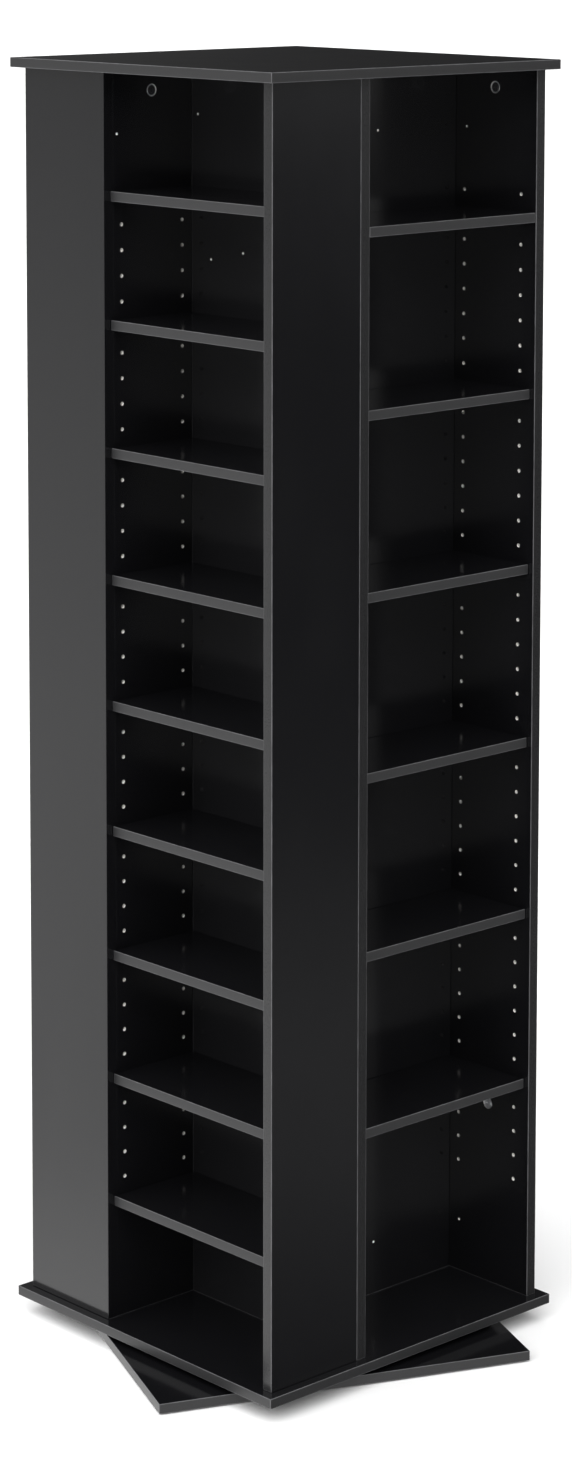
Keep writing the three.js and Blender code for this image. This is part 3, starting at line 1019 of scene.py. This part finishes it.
def cross_cutter(reach, half_width, level):
    """A tapered cross that cuts a driver's recess into a head whose top is at a level."""
    quarter = [Vector((reach, -half_width, 0)), Vector((reach, half_width, 0)),
               Vector((half_width, half_width, 0))]
    outline = [Matrix.Rotation(math.pi / 2 * turn, 3, "Z") @ corner
               for turn in range(4) for corner in quarter]
    bm = bmesh.new()
    top = [bm.verts.new((corner.x, corner.y, CROSS_DEPTH)) for corner in outline]
    foot = [bm.verts.new((corner.x * CROSS_FOOT_SHARE, corner.y * CROSS_FOOT_SHARE, -CROSS_DEPTH))
            for corner in outline]
    bm.faces.new(top)
    bm.faces.new(reversed(foot))
    for i in range(len(outline)):
        bm.faces.new((top[i], top[i - 1], foot[i - 1], foot[i]))
    face_out(bm)
    bmesh.ops.translate(bm, vec=(0, 0, level), verts=bm.verts[:])
    return bm


def recessed_head(profile, steps, recess):
    """A turned head, less its recess."""
    head = bmesh.new()
    turned_profile(head, profile, steps, UNTURNED)
    face_out(head)
    return carve(head, recess)


def cam_template():
    """A cam lock with its face at height 0: a bright rim, a sunk ring and a cross recess."""
    hardware = bpy.context.scene.tower_hardware
    radius = hardware.cam_radius
    foot = POCKET_BEYOND_CAM - hardware.cam_recess
    rim, ring_outside, ring_inside, hub = [radius * share for share in CAM_RING_SHARES]
    profile = (
        (0, foot),
        (radius, foot),
        (radius, -CAM_ARRIS),
        (radius - CAM_ARRIS, 0),
        (rim, 0),
        (ring_outside, -CAM_RING_DEPTH),
        (ring_inside, -CAM_RING_DEPTH),
        (hub, 0),
        (0, 0))
    recess = cross_cutter(radius * CAM_CROSS_SHARE, CAM_CROSS_HALF_WIDTH, 0)
    cam = recessed_head(profile, ROUND_STEPS, recess)
    for face in cam.faces:
        from_middle = face.calc_center_median().xy.length
        face.material_index = int(from_middle > radius * CAM_BRIGHT_SHARE)
    return cam


def scattered(template, places):
    """Copies of one template's mesh code at many places, as one."""
    mesh = mesh_from(template, "template")
    bm = bmesh.new()
    for place in places:
        start = len(bm.verts)
        bm.from_mesh(mesh)
        bm.verts.ensure_lookup_table()
        bmesh.ops.transform(bm, matrix=place, verts=bm.verts[start:])
    bpy.data.meshes.remove(mesh)
    crease(bm)
    return bm


def facing(side):
    """Turns local Z towards a side."""
    return SIDES[side].to_track_quat("Z", "Y").to_matrix().to_4x4()


def fixing_places(table):
    """Where the fixings of both halves sit, a little below the faces of their walls."""
    places = []
    for wall, spots in table.items():
        low, high = WALL_BOXES[wall]
        for side, across, height in spots:
            sign, axis = side[0], "xy".index(side[1])
            at = Vector((across, across, height))
            at[axis] = low[axis] if sign == "-" else high[axis]
            at -= SIDES[side] * CAM_INSET
            for half in HALVES:
                places.append(HALF_TURN[half] @ Matrix.Translation(at) @ facing(side))
    return places


class TowerBuildFixings(bpy.types.Operator):
    """Builds the cam locks in the walls: dark caps at the top, bare ones lower down."""

    bl_idname = "tower.build_fixings"
    bl_label = "Cam locks"

    def execute(self, context):
        kinds = (("capped_cams", CAPPED_CAMS, "dark_zinc"), ("bare_cams", BARE_CAMS, "zinc_plate"))
        for name, table, face_finish in kinds:
            cams = scattered(cam_template(), fixing_places(table))
            add_piece(name, cams, (face_finish, "zinc_plate"), "tower")
        return {"FINISHED"}


class TowerBuildBase(bpy.types.Operator):
    """Builds the square base board and its four floor pads."""

    bl_idname = "tower.build_base"
    bl_label = "Base"

    def execute(self, context):
        low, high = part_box("base_board")
        corners = ((-BASE_HALF, -BASE_HALF, low.z), (BASE_HALF, BASE_HALF, high.z))
        board = new_board(*corners, ALL_ROUND)
        bore = bmesh.new()
        radius = ACCESS_HOLE_RADIUS
        reach = high.z - low.z + 2 * OVERRUN
        profile = ((0, 0), (radius, 0), (radius, reach), (0, reach))
        at = Matrix.Translation((0, -ACCESS_HOLE_PLACE, low.z - OVERRUN))
        turned_profile(bore, profile, ROUND_STEPS, at)
        cut_to_raw_board(bore)
        board = carve(board, bore)
        crease(board)
        add_board("base_board", board, "board_tape", "base", BASE_TURN)
        for number in range(1, PAD_COUNT + 1):
            node = f"floor_pad_{number}"
            low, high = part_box(node)
            centre = (low + high) / 2
            radius = (high.x - low.x) / 2
            bm = bmesh.new()
            profile = ((0, low.z), (radius - PAD_ARRIS, low.z), (radius, low.z + PAD_ARRIS),
                       (radius, high.z), (0, high.z))
            turned_profile(bm, profile, ROUND_STEPS, Matrix.Translation((centre.x, centre.y, 0)))
            crease(bm)
            add_piece(f"dressed_{node}", bm, ("floor_pad",), "base", (node,))
        return {"FINISHED"}


def screw_template():
    """A pan-head screw whose seat is at height 0 and whose head points up local Z."""
    radius = bpy.context.scene.tower_hardware.screw_head
    shank = SCREW_SHANK_RADIUS
    profile = [(0, -SCREW_LENGTH), (shank, SCREW_POINT - SCREW_LENGTH), (shank, 0), (radius, 0)]
    for step in range(DOME_STEPS):
        angle = math.pi / 2 * step / DOME_STEPS
        rise = (SCREW_HEAD_HEIGHT - SCREW_HEAD_RIM) * math.sin(angle)
        profile.append((radius * math.cos(angle), SCREW_HEAD_RIM + rise))
    profile.append((0, SCREW_HEAD_HEIGHT))
    recess = cross_cutter(SCREW_CROSS_REACH, SCREW_CROSS_HALF_WIDTH, SCREW_HEAD_HEIGHT)
    return recessed_head(profile, SMALL_STEPS, recess)


def screw_ring(circle, height, down, turn):
    """Places of a plate's screws, round its circle."""
    flip = Matrix.Rotation(math.pi, 4, "X") if down else UNTURNED
    places = []
    for i in range(SCREWS_A_PLATE):
        angle = (2 * i + 1) * math.pi / SCREWS_A_PLATE
        places.append(turn @ Matrix.Translation(on_circle(circle, angle, height)) @ flip)
    return places


def plate_profile(track_side, outward, lip_end, seat, level, rim):
    """Profile of a pressed plate with a lip, a collar beside the track and a flange for screws.

    The collar stands on the plate's level and ends at its rim. The flange lies on the side of the
    collar that faces away from the track: outward is 1 where that is further out, or else -1.
    """
    far_side = track_side + outward * SHEET
    flange_end = far_side + outward * FLANGE
    below_rim = rim - math.copysign(RIM_ARRIS, rim - level)
    return (
        (lip_end, seat),
        (lip_end, level),
        (track_side, level),
        (track_side, below_rim),
        (track_side + outward * RIM_ARRIS, rim),
        (far_side - outward * RIM_ARRIS, rim),
        (far_side, below_rim),
        (far_side, level),
        (flange_end, level),
        (flange_end, seat))


def ball_profile(radius):
    """Profile of a ball, from its foot to its top."""
    angles = [math.pi * (i / BALL_ARC_STEPS - 0.5) for i in range(1, BALL_ARC_STEPS)]
    arc = [(radius * math.cos(angle), radius * math.sin(angle)) for angle in angles]
    return [(0, -radius), *arc, (0, radius)]


class TowerBuildBearing(bpy.types.Operator):
    """Builds the two pressed plates, the ring of balls and the screws of the turntable."""

    bl_idname = "tower.build_bearing"
    bl_label = "Turntable bearing"

    def execute(self, context):
        steps = context.scene.tower_hardware.bearing_steps
        lower = plate_profile(
            COLLAR_INSIDE, -1, COLLAR_OUTSIDE + SHEET + LIP, *LOWER_FLANGE, UPPER_FLANGE[0] - RIM_GAP)
        upper = plate_profile(
            COLLAR_OUTSIDE, 1, COLLAR_INSIDE - SHEET - LIP, *reversed(UPPER_FLANGE),
            LOWER_FLANGE[1] + RIM_GAP)
        plates = (("bearing_lower_plate", lower, "base"), ("bearing_upper_plate", upper, "tower"))
        for node, profile, body in plates:
            plate = bmesh.new()
            turned_profile(plate, profile, steps, UNTURNED, closed=True)
            crease(plate)
            add_piece(f"dressed_{node}", plate, ("zinc_plate",), body, (node,))

        ring = bmesh.new()
        inside = RACE_RADIUS - RETAINER_HALF_WIDTH
        outside = RACE_RADIUS + RETAINER_HALF_WIDTH
        foot = RACE_MIDDLE - SHEET / 2
        top = RACE_MIDDLE + SHEET / 2
        retainer = ((inside, foot), (outside, foot), (outside, top), (inside, top))
        turned_profile(ring, retainer, steps, UNTURNED, closed=True, material=1)
        ball = ball_profile((UPPER_FLANGE[0] - LOWER_FLANGE[1]) / 2 - BALL_PLAY)
        for i in range(BALL_COUNT):
            at = on_circle(RACE_RADIUS, math.tau * i / BALL_COUNT, RACE_MIDDLE)
            turned_profile(ring, ball, SMALL_STEPS, Matrix.Translation(at))
        crease(ring)
        add_piece("dressed_bearing_ball_ring", ring, ("ball_steel", "zinc_plate"), "ball_ring",
                  ("bearing_ball_ring",))

        rings = (
            ("lower_plate_screws", "base", (LOWER_SCREW_CIRCLE, LOWER_FLANGE[1], False, BASE_TURN)),
            ("upper_plate_screws", "tower", (UPPER_SCREW_CIRCLE, UPPER_FLANGE[0], True, UNTURNED)),
        )
        for name, body, place in rings:
            screws = scattered(screw_template(), screw_ring(*place))
            add_piece(name, screws, ("dark_zinc",), body)
        return {"FINISHED"}


# Camera: place, direction and shift that give the photograph's view
CAMERA_PLACE = (3.36105, -3.07787, 1.85650)
CAMERA_YAW = 0.8204
CAMERA_PITCH = 0.1079
CAMERA_ROLL = 0.0022
CAMERA_SHIFT = (-0.0208, -0.3116)
SENSOR_WIDTH = 36
CLIP_END = 500

# Directions of the middles of the wide lights
LEFT_DIRECTION = (-0.72, -0.69, 0.0)
FRONT_DIRECTION = (0.71, -0.71, 0.0)
RIGHT_DIRECTION = (0.74, 0.67, 0.0)
BACK_DIRECTION = (-0.71, 0.71, 0.0)

# Soft edges of the lights, as a middle and half a width: cosines in plan, sines in height
LEFT_EDGE = (0.42, 0.40)
WIDE_EDGE = (0.50, 0.40)
OVERHEAD_EDGE = (0.80, 0.10)
FRONT_TOP_EDGE = (0.42, 0.10)
LEFT_TOP_EDGE = (0.30, 0.10)
HORIZON_EDGE = (-0.05, 0.03)
LEFT_FLOOR_EDGE = (-0.356, 0.012)
GLOW_FOOT_EDGE = (-0.355, 0.015)
GLOW_TOP_EDGE = (-0.275, 0.025)

# Span of heights over which the left light goes from its foot's brightness to its own
LEFT_FOOT_SPAN = (-0.24, -0.04)

# Brightness of the left light at the floor, the low glow on the right and the white that is seen
LEFT_FLOOR_LIGHT = 0.75
LOW_GLOW_LIGHT = 0.28
WHITE_SHOWN = 1.1
# Share that the front light's foot loses above the horizon
FRONT_FOOT_LOSS = 0.85


def camera_matrix():
    """Place and axes of the camera."""
    yaw, pitch, roll = CAMERA_YAW, CAMERA_PITCH, CAMERA_ROLL
    along = math.cos(pitch)
    ahead = Vector((-math.sin(yaw) * along, math.cos(yaw) * along, -math.sin(pitch)))
    level = Vector((math.cos(yaw), math.sin(yaw), 0))
    upright = level.cross(ahead)
    right = level * math.cos(roll) + upright * math.sin(roll)
    up = upright * math.cos(roll) - level * math.sin(roll)
    axes = Matrix((right, up, -ahead)).transposed()
    return Matrix.Translation(CAMERA_PLACE) @ axes.to_4x4()


def light_room(stage):
    """A white studio: soft light above, on the left and behind the camera, and a dim rest."""
    world = bpy.data.worlds.new("studio")
    bpy.context.scene.world = world
    sheet = NodeSheet(world)
    direction = sheet.node("ShaderNodeTexCoord", output="Generated")
    height = sheet.node("ShaderNodeSeparateXYZ", None, {0: direction}, output="Z")
    left = sheet.facing(direction, LEFT_DIRECTION).above(*LEFT_EDGE)
    front = sheet.facing(direction, FRONT_DIRECTION).above(*WIDE_EDGE)
    right = sheet.facing(direction, RIGHT_DIRECTION).above(*WIDE_EDGE)
    back = sheet.facing(direction, BACK_DIRECTION).above(*WIDE_EDGE)
    raised = height.above(*HORIZON_EDGE)
    low_glow = height.above(*GLOW_FOOT_EDGE) - height.above(*GLOW_TOP_EDGE)
    left_light = (height.scaled(LEFT_FOOT_SPAN, (stage.left_foot, stage.left))
                  + height.above(*LEFT_TOP_EDGE) * stage.left_top
                  + (1 - height.above(*LEFT_FLOOR_EDGE)) * LEFT_FLOOR_LIGHT)
    front_light = (height.above(*FRONT_TOP_EDGE) * stage.front
                   + (1 - raised * FRONT_FOOT_LOSS) * stage.front_foot)
    light = (height.above(*OVERHEAD_EDGE) * stage.overhead
             + left * left_light
             + front * front_light
             + right * (raised * stage.right + low_glow * LOW_GLOW_LIGHT)
             + back * (1 - raised) * stage.back_foot
             + stage.dim)
    white = (1.0, 1.0, 1.0, 1.0)
    lit = sheet.node("ShaderNodeBackground", None, {"Color": white, "Strength": light})
    seen = sheet.node("ShaderNodeBackground", None, {"Color": white, "Strength": WHITE_SHOWN})
    camera_ray = sheet.node("ShaderNodeLightPath", output="Is Camera Ray")
    shown = sheet.node("ShaderNodeMixShader", None, {0: camera_ray, 1: lit, 2: seen})
    sheet.node("ShaderNodeOutputWorld", None, {"Surface": shown})


def lay_floor(stage):
    """A wide pale floor that doesn't show in reflections."""
    bm = bmesh.new()
    bm.faces.new(ring_of(bm, Vector(), SIDES["+z"], stage.floor_radius, FLOOR_STEPS))
    floor = bpy.data.objects.new("studio_floor", mesh_from(bm, "studio_floor"))
    bpy.context.scene.collection.objects.link(floor)
    paint = bpy.data.materials.new("studio_floor")
    sheet = NodeSheet(paint)
    tone = sheet.noise(sheet.place(), scale=0.8)
    colour = sheet.blend(tone, shade(stage.floor_colour, 0.99), shade(stage.floor_colour, 1.01))
    sheet.surface(Base_Color=colour, Roughness=0.9, Specular_IOR_Level=0.1)
    floor.data.materials.append(paint)
    floor.visible_glossy = False


def place_camera(stage):
    """The camera that gives the photograph's view."""
    lens = bpy.data.cameras.new("photo_camera")
    lens.sensor_fit = "AUTO"
    lens.sensor_width = SENSOR_WIDTH
    lens.lens = stage.lens
    lens.shift_x, lens.shift_y = CAMERA_SHIFT
    lens.clip_end = CLIP_END
    camera = bpy.data.objects.new("photo_camera", lens)
    bpy.context.scene.collection.objects.link(camera)
    camera.matrix_world = camera_matrix()
    bpy.context.scene.camera = camera


class TowerBuildStage(bpy.types.Operator):
    """Builds the pale floor, the soft studio light and the camera."""

    bl_idname = "tower.build_stage"
    bl_label = "Stage"

    def execute(self, context):
        stage = context.scene.tower_stage
        context.scene.view_settings.view_transform = "Standard"
        light_room(stage)
        lay_floor(stage)
        place_camera(stage)
        return {"FINISHED"}


PIECE_OPERATORS = (
    TowerBuildStage,
    TowerBuildBase,
    TowerBuildBearing,
    TowerBuildEndBoards,
    TowerBuildUprights,
    TowerBuildDiscShelves,
    TowerBuildFilmShelves,
    TowerBuildShelfPins,
    TowerBuildFixings,
)


class TowerPanel(bpy.types.Panel):
    """Lists the builders and their sizes in the sidebar."""

    bl_idname = "VIEW3D_PT_media_tower"
    bl_label = "Rotating Media Tower"
    bl_space_type = "VIEW_3D"
    bl_region_type = "UI"
    bl_category = "Media Tower"

    def draw(self, context):
        layout = self.layout
        for operator in PIECE_OPERATORS:
            layout.operator(operator.bl_idname)
        for name, group in PIECE_GROUPS.items():
            box = layout.box()
            settings = getattr(context.scene, name)
            for prop in group.__annotations__:
                box.prop(settings, prop)


CLASSES = (*PIECE_GROUPS.values(), *PIECE_OPERATORS, TowerPanel)


def register():
    for cls in CLASSES:
        bpy.utils.register_class(cls)
    for name, group in PIECE_GROUPS.items():
        setattr(bpy.types.Scene, name, PointerProperty(type=group))


def unregister():
    for name in PIECE_GROUPS:
        delattr(bpy.types.Scene, name)
    for cls in reversed(CLASSES):
        bpy.utils.unregister_class(cls)


def main():
    register()
    for operator in PIECE_OPERATORS:
        family, name = operator.bl_idname.split(".")
        getattr(getattr(bpy.ops, family), name)()


if __name__ == "__main__":
    main()
